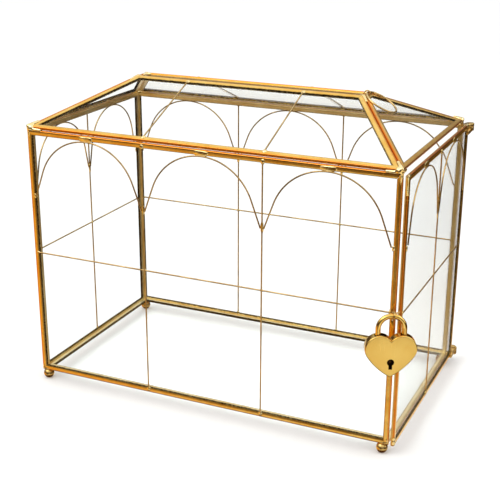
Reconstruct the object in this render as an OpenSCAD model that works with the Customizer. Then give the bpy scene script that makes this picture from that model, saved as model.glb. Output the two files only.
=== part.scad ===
// Wedding card box: a clear glass house in brass came, with a hipped roof that is open
// along its top as a card slot, a door for its right end and a heart-shaped padlock.
// Millimetres. +Z is up, +X is the door end and -Y is the front. The origin is on the
// surface the box stands on, below the middle of the whole object.

/* [Case] */
// Length of the case without its door
case_len = 310; // [300:5:330]
// Width of the case, front to back
case_wid = 176; // [172:2:190]
// Height of the wall panels
wall_hgt = 211; // [205:1:220]
// Rise of the roof above the walls
roof_rise = 32.4; // [30:0.2:38]

/* [Card slot] */
// Length of the card slot
slot_len = 195; // [185:1:205]
// Width of the card slot
slot_wid = 11.6; // [10:0.2:13]

/* [Came and glass] */
// Width of the came's face
came_w = 4.2; // [4:0.1:5]
// Thickness of the came
came_t = 3; // [2.8:0.1:3.4]
// Thickness of the panes
glass_t = 2; // [1.8:0.1:2]
// Diameter of the decorative wires
wire_d = 1.2; // [1:0.1:1.4]

/* [Wire pattern] */
// Height of the horizontal wires above the bottom of the walls
rail_hgt = 107.6; // [100:0.2:112]
// Height at which the legs of the arches meet the upright wires
arch_foot = 153.1; // [148:0.1:156]
// Radius of an arch as a share of half its bay
arch_share = 0.876; // [0.84:0.002:0.9]

/* [Door] */
// Gap between the end of the case and the door
door_gap = 1.6; // [1.4:0.1:2]
// Height of the door
door_hgt = 210.2; // [205:0.1:210.8]
// Distance of the hinge axis behind the case
hinge_back = 11; // [10.5:0.5:12]
// Radius of the hinge pins
pin_r = 1.2; // [1.1:0.05:1.4]

/* [Feet and ring] */
// Diameter of the ball feet
foot_d = 9; // [8.8:0.1:9.4]
// Radius of the pull ring to the middle of its wire
ring_r = 13; // [11:0.5:14]
// Diameter of the pull ring's wire
ring_wire_d = 1.5; // [1.3:0.1:1.6]

/* [Padlock] */
// Thickness of the padlock
lock_t = 8; // [7.8:0.1:8.4]
// Radius of each lobe of the heart
lobe_r = 10.5; // [10.3:0.1:10.7]
// Distance of a lobe's middle from the heart's middle line
lobe_x = 8.3; // [8.2:0.1:8.4]
// Diameter of the shackle's rod
rod_d = 3.8; // [3.6:0.1:3.8]
// Angle that the padlock's face is turned from the front towards the door
lock_turn = 26; // [24:1:28]

/* [Hidden] */

$fn = 48;
brass = "#d9a13b";
pale_brass = "#e8c477";
dark_brass = "#a8742a";
clear = [0.85, 0.93, 0.9, 0.35];

// Where the middle of the case stands, so that the origin is below the whole object's middle
case_x = -9.15;
case_y = 3.4;

// Levels and half sizes of the case
half_len = case_len / 2;
half_wid = case_wid / 2;
floor_z = 8.4;
eave_z = floor_z + wall_hgt;
slot_z = eave_z + roof_rise;
eave_in = 1.4;
inner_wid = half_wid - came_t;
inner_len = half_len - came_t;
rise_len = half_len - eave_in;
rise_wid = half_wid - eave_in;
half_slot = slot_len / 2;
half_gap = slot_wid / 2;
door_x = half_len + door_gap;

// How the panes sit in the came
pane_in = 1.2;
channel_in = 1;
channel_slack = 0.1;
mitre_gap = 0.05;
wire_r = wire_d / 2;
wire_lift = (came_t + glass_t) / 2 + wire_r;
wire_end_gap = 0.1;
wire_cross_gap = 0.05;
arch_seam = 0.02;
foot_spots = [[-151.2, -84.4], [149.5, -84.8], [150.3, 84], [-150.5, 83.6]];

// Faces of the case, each counter-clockwise from outside, on the inner side of its came
face_base = [
    [-inner_len, inner_wid, floor_z + came_t], [half_len, inner_wid, floor_z + came_t],
    [half_len, -inner_wid, floor_z + came_t], [-inner_len, -inner_wid, floor_z + came_t]];
face_front = [
    [-half_len, -inner_wid, floor_z], [half_len, -inner_wid, floor_z],
    [half_len, -inner_wid, eave_z], [-half_len, -inner_wid, eave_z]];
face_back = [
    [half_len, inner_wid, floor_z], [-half_len, inner_wid, floor_z],
    [-half_len, inner_wid, eave_z], [half_len, inner_wid, eave_z]];
face_left = [
    [-inner_len, inner_wid, floor_z], [-inner_len, -inner_wid, floor_z],
    [-inner_len, -inner_wid, eave_z], [-inner_len, inner_wid, eave_z]];
face_door = [
    [door_x, -half_wid, floor_z], [door_x, half_wid, floor_z],
    [door_x, half_wid, floor_z + door_hgt], [door_x, -half_wid, floor_z + door_hgt]];
face_roof_front = [
    [-rise_len, -rise_wid, eave_z], [rise_len, -rise_wid, eave_z],
    [half_slot, -half_gap, slot_z], [-half_slot, -half_gap, slot_z]];
face_roof_back = [
    [rise_len, rise_wid, eave_z], [-rise_len, rise_wid, eave_z],
    [-half_slot, half_gap, slot_z], [half_slot, half_gap, slot_z]];
face_roof_left = [
    [-rise_len, rise_wid, eave_z], [-rise_len, -rise_wid, eave_z],
    [-half_slot, -half_gap, slot_z], [-half_slot, half_gap, slot_z]];
face_roof_right = [
    [rise_len, -rise_wid, eave_z], [rise_len, rise_wid, eave_z],
    [half_slot, half_gap, slot_z], [half_slot, -half_gap, slot_z]];

// Hinge: the axis stands behind the rear corner, in the middle of the door's thickness
hinge_x = door_x + came_t / 2;
hinge_y = half_wid + hinge_back;
lug_t = 2.9;
lug_gap = 0.3;
lug_r = 3.4;
top_lug_z = 211;
low_lug_z = 8.6;
pin_slack = 0.05;
pin_head_r = 2.2;
pin_head_t = 0.8;

// Ring on the right hip of the roof
hip_run = rise_len - half_slot;
hip_angle = atan(roof_rise / hip_run);
staple_r = 2.3;
staple_wire_r = 0.5;
ring_down = -0.2;
ring_lift = 0.85;

// Padlock: x runs across the heart, -y is its face, and its middle stands off the corner
lock_x = 155.35;
lock_y = -97.4;
lobe_z = 93.1;
side_r = 47;
tip_r = 1.2;
tip_z = 72.8;
shell_wall = 1.4;
plate_t = 1.2;
plate_gap = 0.05;
rod_r = rod_d / 2;
leg_x = 9.5;
crown_z = 108.1;
heel_z = 92;
heel_r = 2.6;
heel_t = 3.4;
heel_pin_r = 1;
toe_z = 95;
bolt_z = 98.2;
bolt_h = 1.8;
bolt_w = 3;
bolt_x = -6.1;
bolt_len = 4.2;
notch_h = 2.6;
slot_half_t = 2.2;
key_z = 83.1;
key_r = 2.6;
key_slot_w = 2.6;
key_slot_len = 5.5;
key_post_r = 0.8;
eye_x = 1;
eye_r = 3;
eye_wire_r = 0.6;
case_eye_r = 2.5;
case_eye_x = 152.2;
case_eye_z = 117.2;
eye_z = crown_z + sqrt(leg_x * leg_x - eye_x * eye_x);
eye_tilt = asin(eye_x / leg_x);

// ---- helpers --------------------------------------------------------------------

function unit(v) = v / norm(v);
function face_u(p) = unit(p[1] - p[0]);
function face_n(p) = unit(cross(p[1] - p[0], p[3] - p[0]));
function face_v(p) = cross(face_n(p), face_u(p));
function flat(p) = [for (q = p) [(q - p[0]) * face_u(p), (q - p[0]) * face_v(p)]];
function left_of(e) = [-e.y, e.x];
function wrap(i, n) = (i + n) % n;

// A convex outline moved inwards by d
function inset(p, d) = [
    for (i = [0 : len(p) - 1])
        let (
            before = left_of(unit(p[i] - p[wrap(i - 1, len(p))])),
            after = left_of(unit(p[wrap(i + 1, len(p))] - p[i])))
        p[i] + d * (before + after) / (1 + before * after)];

// The case's own middle, seen from the origin
module on_case() translate([case_x, case_y, 0]) children();

// Lays its child on a face: x along the face's first edge, z outwards
module on_face(p) {
    u = face_u(p);
    v = face_v(p);
    n = face_n(p);
    o = p[0];
    on_case()
        multmatrix([
            [u.x, v.x, n.x, o.x],
            [u.y, v.y, n.y, o.y],
            [u.z, v.z, n.z, o.z],
            [0, 0, 0, 1]])
            children();
}

// The pane of one face
module pane(face) {
    outline = flat(face);
    on_face(face)
        translate([0, 0, (came_t - glass_t) / 2])
            linear_extrude(glass_t)
                polygon(inset(outline, pane_in));
}

// The came round one face: four mitred lengths with a channel for the pane
module came(face) {
    outline = flat(face);
    inner = inset(outline, came_w);
    slot_t = glass_t + channel_slack;
    on_face(face)
        difference() {
            for (i = [0 : 3]) {
                j = wrap(i + 1, 4);
                e = mitre_gap * unit(outline[j] - outline[i]);
                linear_extrude(came_t)
                    polygon([outline[i] + e, outline[j] - e, inner[j] - e, inner[i] + e]);
            }
            translate([0, 0, (came_t - slot_t) / 2])
                linear_extrude(slot_t)
                    polygon(inset(outline, channel_in));
        }
}

// A straight wire between two points of a face
module wire(a, b) {
    d = b - a;
    translate([a.x, a.y, wire_lift])
        rotate([0, 0, atan2(d.y, d.x)])
            rotate([0, 90, 0])
                cylinder(h = norm(d), r = wire_r, $fn = 24);
}

// A round arch with two straight splayed legs, of half width a, round the middle c.
// A hair seam parts the round from its legs, so that each stays a true surface.
module arch(c, a, foot_y) {
    r = arch_share * a;
    foot = [a, foot_y - c.y];
    reach = norm(foot);
    from = atan2(foot.y, foot.x) + acos(r / reach);
    touch = r * [cos(from), sin(from)];
    start = touch + arch_seam * unit(foot - touch);
    stop = touch + (foot - touch) * (1 - (2 * wire_r + 0.15) / (foot.x - touch.x));
    translate([c.x, c.y, wire_lift])
        rotate([0, 0, from])
            rotate_extrude(angle = 180 - 2 * from, $fn = 96)
                translate([r, 0])
                    circle(wire_r, $fn = 24);
    for (side = [-1, 1])
        wire(c + [side * start.x, start.y], c + [side * stop.x, stop.y]);
}

// The wires of a wall: uprights, a horizontal rail and one arch a bay
module wall_wires(face, bays) {
    outline = flat(face);
    wid = outline[1].x;
    hgt = outline[2].y;
    low = came_w + wire_end_gap;
    bay = (wid - 2 * came_w) / bays;
    arch_top = hgt - came_w - wire_end_gap - wire_r;
    on_face(face)
        for (i = [0 : bays - 1]) {
            x = came_w + i * bay;
            from = i == 0 ? wire_end_gap : wire_r + wire_cross_gap;
            to = i == bays - 1 ? wire_end_gap : wire_r + wire_cross_gap;
            wire([x + from, rail_hgt], [x + bay - to, rail_hgt]);
            arch([x + bay / 2, arch_top - arch_share * bay / 2], bay / 2, arch_foot);
            if (i > 0)
                wire([x, low], [x, hgt - low]);
        }
}

// The two wires that carry the front's uprights on over the roof
module roof_wires(face) {
    outline = flat(face);
    low = came_w + wire_end_gap;
    bay = (case_len - 2 * came_w) / 3;
    on_face(face)
        for (side = [-1, 1])
            translate([rise_len + side * bay / 2, 0, 0])
                wire([0, low], [0, outline[2].y - low]);
}

// ---- case -----------------------------------------------------------------------

module base_glass() color(clear) pane(face_base);
module base_frame() color(dark_brass) came(face_base);
module front_glass() color(clear) pane(face_front);
module front_frame() color(brass) came(face_front);
module front_wires() color(pale_brass) wall_wires(face_front, 3);
module back_glass() color(clear) pane(face_back);
module back_frame() color(brass) came(face_back);
module back_wires() color(pale_brass) wall_wires(face_back, 3);
module left_glass() color(clear) pane(face_left);
module left_frame() color(brass) came(face_left);
module left_wires() color(pale_brass) wall_wires(face_left, 2);
module roof_front_glass() color(clear) pane(face_roof_front);
module roof_front_frame() color(brass) came(face_roof_front);
module roof_front_wires() color(pale_brass) roof_wires(face_roof_front);
module roof_back_glass() color(clear) pane(face_roof_back);
module roof_back_frame() color(brass) came(face_roof_back);
module roof_back_wires() color(pale_brass) roof_wires(face_roof_back);
module roof_left_glass() color(clear) pane(face_roof_left);
module roof_left_frame() color(brass) came(face_roof_left);
module roof_right_glass() color(clear) pane(face_roof_right);
module roof_right_frame() color(brass) came(face_roof_right);

// Four balls, each with a small flat to stand on and one against the base
module ball_feet() color(brass)
    on_case()
        for (spot = foot_spots)
            translate([spot.x, spot.y, 0])
                intersection() {
                    translate([0, 0, floor_z / 2])
                        sphere(d = foot_d);
                    translate([-foot_d, -foot_d, 0])
                        cube([2 * foot_d, 2 * foot_d, floor_z]);
                }

// ---- hinges -----------------------------------------------------------------------

// Level of the case's lug and of the door's lug at the top and at the bottom hinge
case_lug_z = [top_lug_z + lug_t + lug_gap, low_lug_z - lug_t - lug_gap];
door_lug_z = [top_lug_z, low_lug_z];

// Two lugs soldered behind the back panel, reaching out to the hinge axis
module case_hinge_lugs() color(brass)
    on_case()
        for (z = case_lug_z)
            translate([0, 0, z])
                linear_extrude(lug_t)
                    difference() {
                        union() {
                            translate([half_len - 13, half_wid])
                                square([13, 3.4]);
                            polygon([
                                [half_len - 4, half_wid + 1], [half_len, half_wid + 1],
                                [hinge_x + lug_r - 0.6, hinge_y - 1.6],
                                [hinge_x - lug_r + 0.2, hinge_y + 0.9]]);
                            translate([hinge_x, hinge_y])
                                circle(lug_r);
                        }
                        translate([hinge_x, hinge_y])
                            circle(pin_r);
                    }

// Two lugs soldered to the door's rear edge, each with a bore that turns on its pin
module door_hinge_lugs() color(brass)
    on_case()
        for (z = door_lug_z)
            translate([0, 0, z])
                linear_extrude(lug_t)
                    difference() {
                        union() {
                            translate([hinge_x - 2.2, half_wid])
                                square([4.4, hinge_back]);
                            translate([door_x + came_t, half_wid - 7])
                                square([1.6, 9]);
                            translate([hinge_x, hinge_y])
                                circle(lug_r);
                        }
                        translate([hinge_x, hinge_y])
                            circle(pin_r + pin_slack);
                    }

// Headed pins: fast in the case's lugs, with the head beyond the door's lug
module hinge_pins() color(pale_brass)
    on_case() {
        translate([hinge_x, hinge_y, top_lug_z - lug_gap])
            hinge_pin(1);
        translate([hinge_x, hinge_y, low_lug_z + lug_t + lug_gap])
            hinge_pin(-1);
    }

module hinge_pin(way) {
    shank = 2 * lug_t + 2 * lug_gap;
    translate([0, 0, way > 0 ? 0 : -shank])
        cylinder(h = shank, r = pin_r);
    translate([0, 0, way > 0 ? -pin_head_t : 0])
        cylinder(h = pin_head_t, r = pin_head_r);
}

// ---- door -------------------------------------------------------------------------

module door_glass() color(clear) pane(face_door);
module door_frame() color(brass) came(face_door);
module door_wires() color(pale_brass) wall_wires(face_door, 2);

// ---- ring on the roof ---------------------------------------------------------------

// Lays its child on the right hip's came: x down the slope, z out of the roof
module on_hip(down, lift)
    on_case()
        translate([half_slot, 0, slot_z])
            rotate([0, hip_angle, 0])
                translate([down, 0, came_t + lift])
                    children();

// Three quarters of a loop of wire round the came's edge at the slot, for the ring
module ring_staple() color(brass)
    on_hip(0, 0)
        rotate([90, 0, 0])
            rotate_extrude(angle = 270)
                translate([staple_r, 0])
                    circle(staple_wire_r, $fn = 24);

module pull_ring() color(pale_brass)
    on_hip(ring_down, ring_lift)
        translate([ring_r, 0, 0])
            rotate_extrude($fn = 96)
                translate([ring_r, 0])
                    circle(ring_wire_d / 2, $fn = 24);

// ---- padlock ----------------------------------------------------------------------

// The padlock's own place: x across the heart, -y out of its face
module on_lock()
    on_case()
        translate([lock_x, lock_y, 0])
            rotate([0, 0, lock_turn])
                children();

// Extrudes an outline drawn in x and z from back_y towards the face
module upright(back_y, depth)
    translate([0, back_y, 0])
        rotate([90, 0, 0])
            linear_extrude(depth)
                children();

// Where a circle of radius r round a meets one of radius q round b, on b's left seen from a
function meet(a, r, b, q) =
    let (
        d = norm(b - a),
        along = (r * r - q * q + d * d) / (2 * d),
        across = sqrt(r * r - along * along))
    a + along * unit(b - a) + across * left_of(unit(b - a));

// Outline of the heart, moved inwards by d: two round lobes, two bowed sides and a round tip
module heart(d = 0) {
    lobe = [lobe_x, lobe_z];
    tip = [0, tip_z];
    mid = meet(tip, side_r - tip_r, lobe, side_r - lobe_r);
    top = mid + (side_r - d) * unit(lobe - mid);
    end = mid + (side_r - d) * unit(tip - mid);
    for (s = [-1, 1])
        translate([s * lobe_x, lobe_z])
            circle(lobe_r - d, $fn = 96);
    translate(tip)
        circle(max(tip_r - d, 0.4));
    intersection() {
        translate(mid)
            circle(side_r - d, $fn = 360);
        translate([-mid.x, mid.y])
            circle(side_r - d, $fn = 360);
        translate([-side_r, end.y])
            square([2 * side_r, top.y - end.y]);
    }
    polygon([[-top.x, top.y], [top.x, top.y], lobe, [0, lobe_z + 1], [-lobe_x, lobe_z]]);
}

// A small wire loop round the y direction at the origin
module loop(r)
    rotate([90, 0, 0])
        rotate_extrude()
            translate([r, 0])
                circle(eye_wire_r, $fn = 24);

// A round stem from a to b, both at one height
module stem(a, b)
    translate(a)
        rotate([0, 90, atan2(b.y - a.y, b.x - a.x)])
            cylinder(h = norm(b - a), r = eye_wire_r, $fn = 24);

// Eye on the case's corner post, its hole along the case's length
module case_lock_eye() color(brass)
    on_case()
        translate([case_eye_x, -half_wid - case_eye_r - eye_wire_r, case_eye_z])
            rotate([0, 0, 90])
                loop(case_eye_r);

// Eye on the door's near edge, with the shackle through it. Its stem is cut flush with the door.
module door_lock_eye() color(brass) {
    mid = [
        lock_x + eye_x * cos(lock_turn),
        lock_y + eye_x * sin(lock_turn), eye_z];
    back = mid + eye_r * [-sin(lock_turn), cos(lock_turn), 0];
    root = [door_x + came_t / 2, -half_wid, eye_z];
    on_lock()
        translate([eye_x, 0, eye_z])
            rotate([0, eye_tilt, 0])
                rotate([0, 0, 90])
                    loop(eye_r);
    on_case()
        difference() {
            stem(back, root + eye_r * unit(root - back));
            translate([door_x - eye_r, -half_wid, eye_z - eye_r])
                cube([came_t + 2 * eye_r, 2 * eye_r, 2 * eye_r]);
        }
}

// Bent rod: the heel ends in an eye for its pin, the toe has a notch for the bolt
module shackle() color(brass)
    on_lock()
        difference() {
            union() {
                translate([0, 0, crown_z])
                    rotate([90, 0, 0])
                        rotate_extrude(angle = 180, $fn = 96)
                            translate([leg_x, 0])
                                circle(rod_r);
                translate([-leg_x, 0, toe_z])
                    cylinder(h = crown_z - toe_z, r = rod_r);
                translate([leg_x, 0, heel_z])
                    cylinder(h = crown_z - heel_z, r = rod_r);
                translate([leg_x, heel_t / 2, heel_z])
                    rotate([90, 0, 0])
                        cylinder(h = heel_t, r = heel_r);
            }
            translate([leg_x, heel_t, heel_z])
                rotate([90, 0, 0])
                    cylinder(h = 2 * heel_t, r = heel_pin_r + pin_slack);
            translate([-leg_x, -rod_d, bolt_z - notch_h / 2])
                cube([rod_d, 2 * rod_d, notch_h]);
        }

// Hollow back half with slots in its rim where the shackle goes in and swings out
module lock_back_shell() color(brass)
    on_lock()
        difference() {
            upright(lock_t / 2, lock_t - plate_t - plate_gap)
                heart();
            upright(lock_t / 2 - shell_wall, lock_t)
                heart(shell_wall);
            translate([-leg_x - 2.5, -slot_half_t, lobe_z + 2])
                cube([9, 2 * slot_half_t, lobe_r]);
            translate([leg_x - 2.5, -slot_half_t, lobe_z + 2])
                cube([lobe_r + 3, 2 * slot_half_t, lobe_r]);
            for (hole = [[leg_x, heel_z, heel_pin_r], [0, key_z, key_post_r]])
                translate([hole[0], lock_t, hole[1]])
                    rotate([90, 0, 0])
                        cylinder(h = lock_t, r = hole[2]);
        }

// Heart-shaped face with the keyhole
module lock_front_plate() color("#ddab45")
    on_lock()
        upright(-lock_t / 2 + plate_t, plate_t)
            difference() {
                heart();
                translate([0, key_z])
                    circle(key_r);
                translate([-key_slot_w / 2, key_z - key_slot_len])
                    square([key_slot_w, key_slot_len]);
            }

module shackle_pivot_pin() color(pale_brass)
    on_lock()
        translate([leg_x, lock_t / 2, heel_z])
            rotate([90, 0, 0])
                cylinder(h = lock_t - plate_t - 0.2, r = heel_pin_r);

// Post that a barrel key turns on
module key_post() color(pale_brass)
    on_lock()
        translate([0, lock_t / 2, key_z])
            rotate([90, 0, 0])
                cylinder(h = lock_t - plate_t - 0.6, r = key_post_r);

// Sliding bolt, drawn back clear of the shackle's toe, with a heel the key pushes
module latch_bolt() color(pale_brass)
    on_lock()
        upright(bolt_w / 2, bolt_w) {
            translate([bolt_x, bolt_z - bolt_h / 2])
                square([bolt_len, bolt_h]);
            translate([bolt_x + bolt_len - 1.6, bolt_z - 9])
                square([1.6, 9]);
        }

// Bent strip fixed below the bolt, its free end behind the bolt's heel
module latch_leaf_spring() color("#b8b8b8")
    on_lock()
        upright(bolt_w / 2, bolt_w) {
            translate([bolt_x + bolt_len + 0.4, bolt_z - 11.5])
                square([0.4, 8]);
            translate([bolt_x - 1, bolt_z - 11.5])
                square([bolt_len + 1.8, 0.4]);
        }

base_glass();
base_frame();
front_glass();
front_frame();
front_wires();
back_glass();
back_frame();
back_wires();
left_glass();
left_frame();
left_wires();
roof_front_glass();
roof_front_frame();
roof_front_wires();
roof_back_glass();
roof_back_frame();
roof_back_wires();
roof_left_glass();
roof_left_frame();
roof_right_glass();
roof_right_frame();
ball_feet();
case_hinge_lugs();
hinge_pins();
case_lock_eye();
ring_staple();
pull_ring();
door_glass();
door_frame();
door_wires();
door_hinge_lugs();
door_lock_eye();
shackle();
lock_back_shell();
lock_front_plate();
shackle_pivot_pin();
key_post();
latch_leaf_spring();
latch_bolt();
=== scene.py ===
"""Looks of a glass card box: gold came round clear panes, soldered wires, a door and a padlock.

Shapes are drawn in millimetres from the middle of the case, with z from the surface it stands on,
and each finished piece is put into the frame, in metres, by finish_piece().
"""

import math

import bmesh
import bpy
from mathutils import Matrix, Vector, noise
from mathutils.bvhtree import BVHTree


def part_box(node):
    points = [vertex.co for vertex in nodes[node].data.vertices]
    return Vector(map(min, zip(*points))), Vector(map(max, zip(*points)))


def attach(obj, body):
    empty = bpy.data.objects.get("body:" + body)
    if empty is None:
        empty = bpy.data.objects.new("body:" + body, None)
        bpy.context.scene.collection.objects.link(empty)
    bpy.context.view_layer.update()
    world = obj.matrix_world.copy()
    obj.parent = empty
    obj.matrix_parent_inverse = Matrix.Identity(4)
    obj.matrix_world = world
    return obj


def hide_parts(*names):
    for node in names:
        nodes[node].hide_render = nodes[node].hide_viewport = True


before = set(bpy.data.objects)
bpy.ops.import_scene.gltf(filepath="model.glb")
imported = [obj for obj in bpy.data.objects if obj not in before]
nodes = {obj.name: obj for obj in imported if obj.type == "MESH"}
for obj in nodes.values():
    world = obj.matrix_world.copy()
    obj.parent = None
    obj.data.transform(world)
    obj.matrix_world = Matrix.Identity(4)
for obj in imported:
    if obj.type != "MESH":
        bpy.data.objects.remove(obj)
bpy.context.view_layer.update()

MM = 0.001

# ---- sizes, from the frame -----------------------------------------------------------------

front_low, front_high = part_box("front_frame")
back_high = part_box("back_frame")[1]
CASE = Vector(((front_low.x + front_high.x) / 2, (front_low.y + back_high.y) / 2, 0))


def in_case(point):
    """A place in the frame as millimetres from the case's middle."""
    return (point - CASE) / MM


def low_of(node):
    return in_case(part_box(node)[0])


def high_of(node):
    return in_case(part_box(node)[1])


HALF_LEN = high_of("front_frame").x
HALF_WID = high_of("back_frame").y
FLOOR_Z = low_of("front_frame").z
EAVE_Z = high_of("front_frame").z
CAME_T = high_of("front_frame").y - low_of("front_frame").y
CAME_W = 4.2
PANE_T = high_of("front_glass").y - low_of("front_glass").y
MITRE_GAP = 0.05
EAVE_IN = 1.4
ROOF_RISE = 32.4
SLOT_Z = EAVE_Z + ROOF_RISE
HALF_SLOT = low_of("roof_right_frame").x
HALF_GAP = low_of("roof_back_frame").y
DOOR_X = low_of("door_frame").x
DOOR_TOP = high_of("door_frame").z
INNER_LEN = HALF_LEN - CAME_T
INNER_WID = HALF_WID - CAME_T
RISE_LEN = HALF_LEN - EAVE_IN
RISE_WID = HALF_WID - EAVE_IN

# Heights up a wall: its rail and where the arches' legs meet; an arch's round as a share of half a bay
WIRE_R = 0.6
RAIL_HGT = 107.6
ARCH_FOOT = 153.1
ARCH_SHARE = 0.876
WIRE_LIFT = (CAME_T + PANE_T) / 2 + WIRE_R

# Ball feet, and where each was soldered on
FOOT_R = 4.5
FOOT_SPOTS = ((-151.2, -84.4), (149.5, -84.8), (150.3, 84), (-150.5, 83.6))

# The padlock: turn and place of its middle, then its heart's lobes, bowed sides, tip, legs and keyhole
LOCK_TURN = math.radians(26)
LOCK_AT = Vector((155.35, -97.4, 0))
LOCK_T = 8
PLATE_T = 1.2
LOBE_R = 10.5
LOBE_X = 8.3
LOBE_Z = 93.1
SIDE_R = 47
TIP_R = 1.2
TIP_Z = 72.8
LEG_X = 9.5
KEY_Z = 83.1
KEY_R = 2.6
KEY_SLOT = Vector((2.6, 5.5))


def corners(*points):
    return [Vector(p) for p in points]


# Each face counter-clockwise from outside, on the inner side of its came
FACES = {
    "base": corners(
        (-INNER_LEN, INNER_WID, FLOOR_Z + CAME_T),
        (HALF_LEN, INNER_WID, FLOOR_Z + CAME_T),
        (HALF_LEN, -INNER_WID, FLOOR_Z + CAME_T),
        (-INNER_LEN, -INNER_WID, FLOOR_Z + CAME_T),
    ),
    "front": corners(
        (-HALF_LEN, -INNER_WID, FLOOR_Z),
        (HALF_LEN, -INNER_WID, FLOOR_Z),
        (HALF_LEN, -INNER_WID, EAVE_Z),
        (-HALF_LEN, -INNER_WID, EAVE_Z),
    ),
    "back": corners(
        (HALF_LEN, INNER_WID, FLOOR_Z),
        (-HALF_LEN, INNER_WID, FLOOR_Z),
        (-HALF_LEN, INNER_WID, EAVE_Z),
        (HALF_LEN, INNER_WID, EAVE_Z),
    ),
    "left": corners(
        (-INNER_LEN, INNER_WID, FLOOR_Z),
        (-INNER_LEN, -INNER_WID, FLOOR_Z),
        (-INNER_LEN, -INNER_WID, EAVE_Z),
        (-INNER_LEN, INNER_WID, EAVE_Z),
    ),
    "door": corners(
        (DOOR_X, -HALF_WID, FLOOR_Z),
        (DOOR_X, HALF_WID, FLOOR_Z),
        (DOOR_X, HALF_WID, DOOR_TOP),
        (DOOR_X, -HALF_WID, DOOR_TOP),
    ),
    "roof_front": corners(
        (-RISE_LEN, -RISE_WID, EAVE_Z),
        (RISE_LEN, -RISE_WID, EAVE_Z),
        (HALF_SLOT, -HALF_GAP, SLOT_Z),
        (-HALF_SLOT, -HALF_GAP, SLOT_Z),
    ),
    "roof_back": corners(
        (RISE_LEN, RISE_WID, EAVE_Z),
        (-RISE_LEN, RISE_WID, EAVE_Z),
        (-HALF_SLOT, HALF_GAP, SLOT_Z),
        (HALF_SLOT, HALF_GAP, SLOT_Z),
    ),
    "roof_left": corners(
        (-RISE_LEN, RISE_WID, EAVE_Z),
        (-RISE_LEN, -RISE_WID, EAVE_Z),
        (-HALF_SLOT, -HALF_GAP, SLOT_Z),
        (-HALF_SLOT, HALF_GAP, SLOT_Z),
    ),
    "roof_right": corners(
        (RISE_LEN, -RISE_WID, EAVE_Z),
        (RISE_LEN, RISE_WID, EAVE_Z),
        (HALF_SLOT, HALF_GAP, SLOT_Z),
        (HALF_SLOT, -HALF_GAP, SLOT_Z),
    ),
}


def body_of_face(name):
    return "door" if name == "door" else "case"


class FaceAxes:
    """A face's own axes: u along its first edge, v up it and n outwards."""

    def __init__(self, face):
        self.at = face[0]
        self.u = (face[1] - face[0]).normalized()
        self.n = self.u.cross(face[3] - face[0]).normalized()
        self.v = self.n.cross(self.u)
        self.outline = [Vector(((p - self.at).dot(self.u), (p - self.at).dot(self.v))) for p in face]

    def point(self, x, y, lift):
        return self.at + x * self.u + y * self.v + lift * self.n


AXES = {name: FaceAxes(face) for name, face in FACES.items()}

# ---- mesh helpers ----------------------------------------------------------------------------


def arc(middle, radius, start, stop, steps):
    """Points on an arc, its angles in degrees."""
    angles = [math.radians(start + (stop - start) * i / steps) for i in range(steps + 1)]
    return [(middle[0] + radius * math.cos(a), middle[1] + radius * math.sin(a)) for a in angles]


def first_ring(bm, points):
    """A closed ring of new vertices with its edges."""
    ring = [bm.verts.new(p) for p in points]
    for i, v in enumerate(ring):
        bm.edges.new((ring[i - 1], v))
    return ring


def next_ring(bm, ring, points):
    """Extrudes a closed ring of vertices on to new places."""
    edges = [bm.edges.get((ring[i - 1], v)) for i, v in enumerate(ring)]
    made = bmesh.ops.extrude_edge_only(bm, edges=edges)["geom"]
    fresh = {v for v in made if isinstance(v, bmesh.types.BMVert)}
    moved = [next(o for e in v.link_edges if (o := e.other_vert(v)) in fresh) for v in ring]
    for v, p in zip(moved, points):
        v.co = p
    return moved


def loft(bm, rings, closed_ends=True):
    """A skin over rings of points, one after another. Returns its rings of vertices."""
    made = [first_ring(bm, rings[0])]
    for points in rings[1:]:
        made.append(next_ring(bm, made[-1], points))
    if closed_ends:
        bm.faces.new(made[0])
        bm.faces.new(made[-1])
    return made


def sweep(bm, path, up, radius, sides=12):
    """A round wire along a flat path whose plane has the normal up."""
    rings = []
    for i, p in enumerate(path):
        along = (path[min(i + 1, len(path) - 1)] - path[max(i - 1, 0)]).normalized()
        across = along.cross(up).normalized()
        turns = [2 * math.pi * k / sides for k in range(sides)]
        rings.append([p + radius * (math.cos(t) * across + math.sin(t) * up) for t in turns])
    loft(bm, rings)


def finish_piece(bm, name, body, materials, stands_for=(), sharp=35):
    """Puts a drawn shape into the frame, on its body, and gives it its materials."""
    bmesh.ops.recalc_face_normals(bm, faces=bm.faces)
    bmesh.ops.transform(bm, matrix=Matrix.Translation(CASE) @ Matrix.Scale(MM, 4), verts=bm.verts)
    mesh = bpy.data.meshes.new(name)
    bm.to_mesh(mesh)
    bm.free()
    mesh.shade_smooth()
    mesh.set_sharp_from_angle(angle=math.radians(sharp))
    for material in materials:
        mesh.materials.append(material)
    piece = bpy.data.objects.new(name, mesh)
    bpy.context.scene.collection.objects.link(piece)
    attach(piece, body)
    if stands_for:
        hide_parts(*stands_for)
    return piece


# ---- materials -------------------------------------------------------------------------------


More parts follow.
